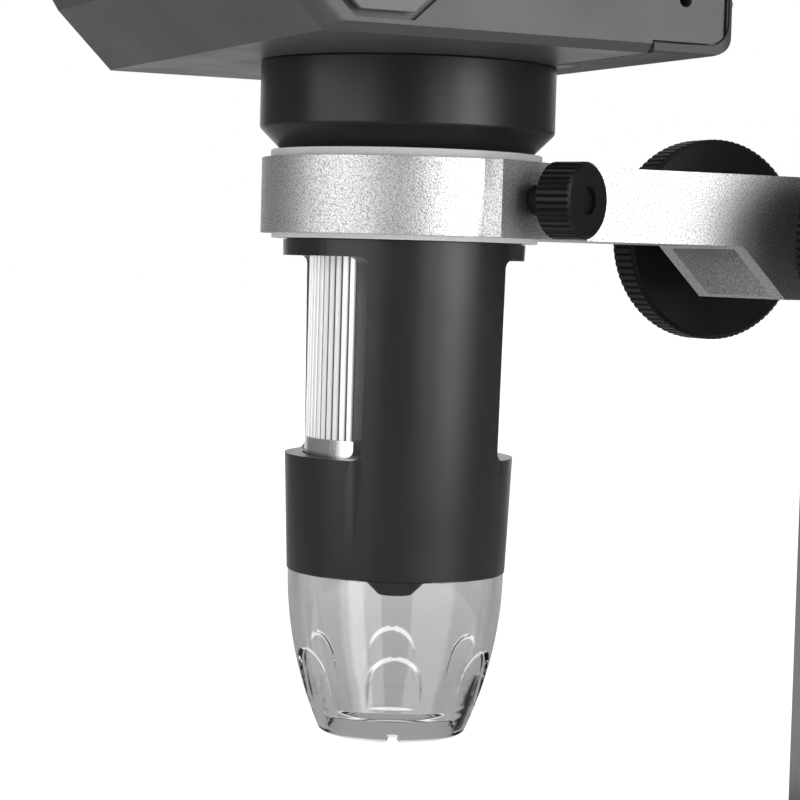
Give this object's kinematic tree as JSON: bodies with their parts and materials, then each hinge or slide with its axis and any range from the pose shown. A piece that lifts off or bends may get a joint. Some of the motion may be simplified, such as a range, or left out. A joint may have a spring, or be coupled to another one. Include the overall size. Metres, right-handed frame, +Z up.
{
  "type": "lcd digital microscope",
  "caption": "Stand-mounted digital microscope: rack-and-pinion column arm, ring-clamped camera barrel with focus wheel, clear lamp nose and a tilted screen head with keys.",
  "frame": {"origin": "middle of the base's footprint on the table, under its feet", "axes": "+Z up, +Y from the user to the column, +X to the user's right"},
  "size_m": [0.125, 0.19, 0.2116],
  "materials": {
    "base_coat": "satin powder coat",
    "stage_white": "satin",
    "foot_rubber": "matte",
    "column_alloy": "drawn and anodised",
    "steel": "turned",
    "brass": "machined",
    "cap_plastic": "fine grain",
    "arm_alloy": "sand-blasted",
    "nylon": "moulded",
    "screw_black": "black anodised, knurled",
    "knob_black": "black anodised, knurled",
    "neck_black": "satin",
    "barrel_black": "satin",
    "wheel_silver": "bright turned",
    "lens_black": "matte",
    "lens_glass": "coated",
    "board": "solder mask",
    "lamp_board": "white solder mask",
    "lamp": "phosphor",
    "sensor": "cover glass",
    "nose_clear": "clear",
    "head_plastic": "fine grain",
    "cover_plastic": "fine grain",
    "bezel_plastic": "piano black",
    "screen_glass": "polished",
    "lcd": "polariser",
    "battery": "shrink wrap",
    "socket_steel": "plated",
    "key_plastic": "satin"
  },
  "bodies": {
    "stand": {"base_plate": "base_coat", "rubber_feet": "foot_rubber", "stage_disc": "stage_white", "column": "column_alloy", "column_screws": "steel", "rack": "brass", "column_cap": "cap_plastic"},
    "carriage": {"clamp_arm": "arm_alloy", "gib_pad": "nylon", "gib_screw": "steel", "ring_bush": "nylon", "bush_washer": "nylon"},
    "pinion_spindle": {"pinion": "brass", "pinion_shaft": "steel", "focus_knob_left": "knob_black", "focus_knob_right": "knob_black"},
    "clamp_screw": {"thumb_screw": "screw_black"},
    "camera_head": {"neck_collar": "neck_black", "barrel_body": "barrel_black", "sensor_holder": "neck_black", "sensor_board": "board", "image_sensor": "sensor", "led_board": "lamp_board", "leds": "lamp", "nose_cover": "nose_clear", "head_housing": "head_plastic", "rear_cover": "cover_plastic", "screen_bezel": "bezel_plastic", "screen_glass": "screen_glass", "lcd_panel": "lcd", "main_board": "board", "battery_pack": "battery", "usb_socket": "socket_steel", "card_socket": "socket_steel", "cover_screws": "steel", "side_switch": "board"},
    "focus_ring": {"focus_wheel": "wheel_silver"},
    "lens": {"lens_tube": "lens_black", "front_lens": "lens_glass"},
    "key_power_body": {"key_power": "key_plastic"},
    "key_menu_body": {"key_menu": "key_plastic"},
    "key_up_body": {"key_up": "key_plastic"},
    "key_down_body": {"key_down": "key_plastic"},
    "key_ok_body": {"key_ok": "key_plastic"},
    "side_key_body": {"side_key": "key_plastic"}
  },
  "joints": [
    {"name": "lift", "type": "slide", "parent": "stand", "child": "carriage", "axis": [0, 0, 1], "range_m": [-0.03, 0.04]},
    {"name": "pinion_turn", "type": "hinge", "parent": "carriage", "child": "pinion_spindle", "pos_m": [0, 0.0601, 0.1317], "axis": [1, 0, 0], "range_deg": [-320, 240]},
    {"name": "clamp_turn", "type": "hinge", "parent": "carriage", "child": "clamp_screw", "pos_m": [0, -0.02, 0.1363], "axis": [0.8704, 0.4924, 0], "range_deg": [0, 540]},
    {"name": "head_swivel", "type": "hinge", "parent": "carriage", "child": "camera_head", "pos_m": [0, -0.02, 0.13], "axis": [0, 0, 1], "continuous": true},
    {"name": "focus_turn", "type": "hinge", "parent": "camera_head", "child": "focus_ring", "pos_m": [0, -0.02, 0.13], "axis": [0, 0, 1], "range_deg": [-150, 150]},
    {"name": "lens_travel", "type": "slide", "parent": "camera_head", "child": "lens", "axis": [0, 0, 1], "range_m": [-0.00248, 0.00248]},
    {"name": "key_power_press", "type": "slide", "parent": "camera_head", "child": "key_power_body", "axis": [0, 0.5299, -0.848], "range_m": [0, 0.0008], "stiffness_N_per_m": 400, "springref_m": -0.0004},
    {"name": "key_menu_press", "type": "slide", "parent": "camera_head", "child": "key_menu_body", "axis": [0, 0.5299, -0.848], "range_m": [0, 0.0008], "stiffness_N_per_m": 400, "springref_m": -0.0004},
    {"name": "key_up_press", "type": "slide", "parent": "camera_head", "child": "key_up_body", "axis": [0, 0.5299, -0.848], "range_m": [0, 0.0008], "stiffness_N_per_m": 400, "springref_m": -0.0004},
    {"name": "key_down_press", "type": "slide", "parent": "camera_head", "child": "key_down_body", "axis": [0, 0.5299, -0.848], "range_m": [0, 0.0008], "stiffness_N_per_m": 400, "springref_m": -0.0004},
    {"name": "key_ok_press", "type": "slide", "parent": "camera_head", "child": "key_ok_body", "axis": [0, 0.5299, -0.848], "range_m": [0, 0.0008], "stiffness_N_per_m": 400, "springref_m": -0.0004},
    {"name": "side_key_press", "type": "slide", "parent": "camera_head", "child": "side_key_body", "axis": [-1, 0, 0], "range_m": [0, 0.0008], "stiffness_N_per_m": 400, "springref_m": -0.0004}
  ],
  "couplings": [
    {"joint": "pinion_turn", "follows": "lift", "rad_per_m": -138.89},
    {"joint": "focus_turn", "follows": "lens_travel", "rad_per_m": 1052.6}
  ]
}
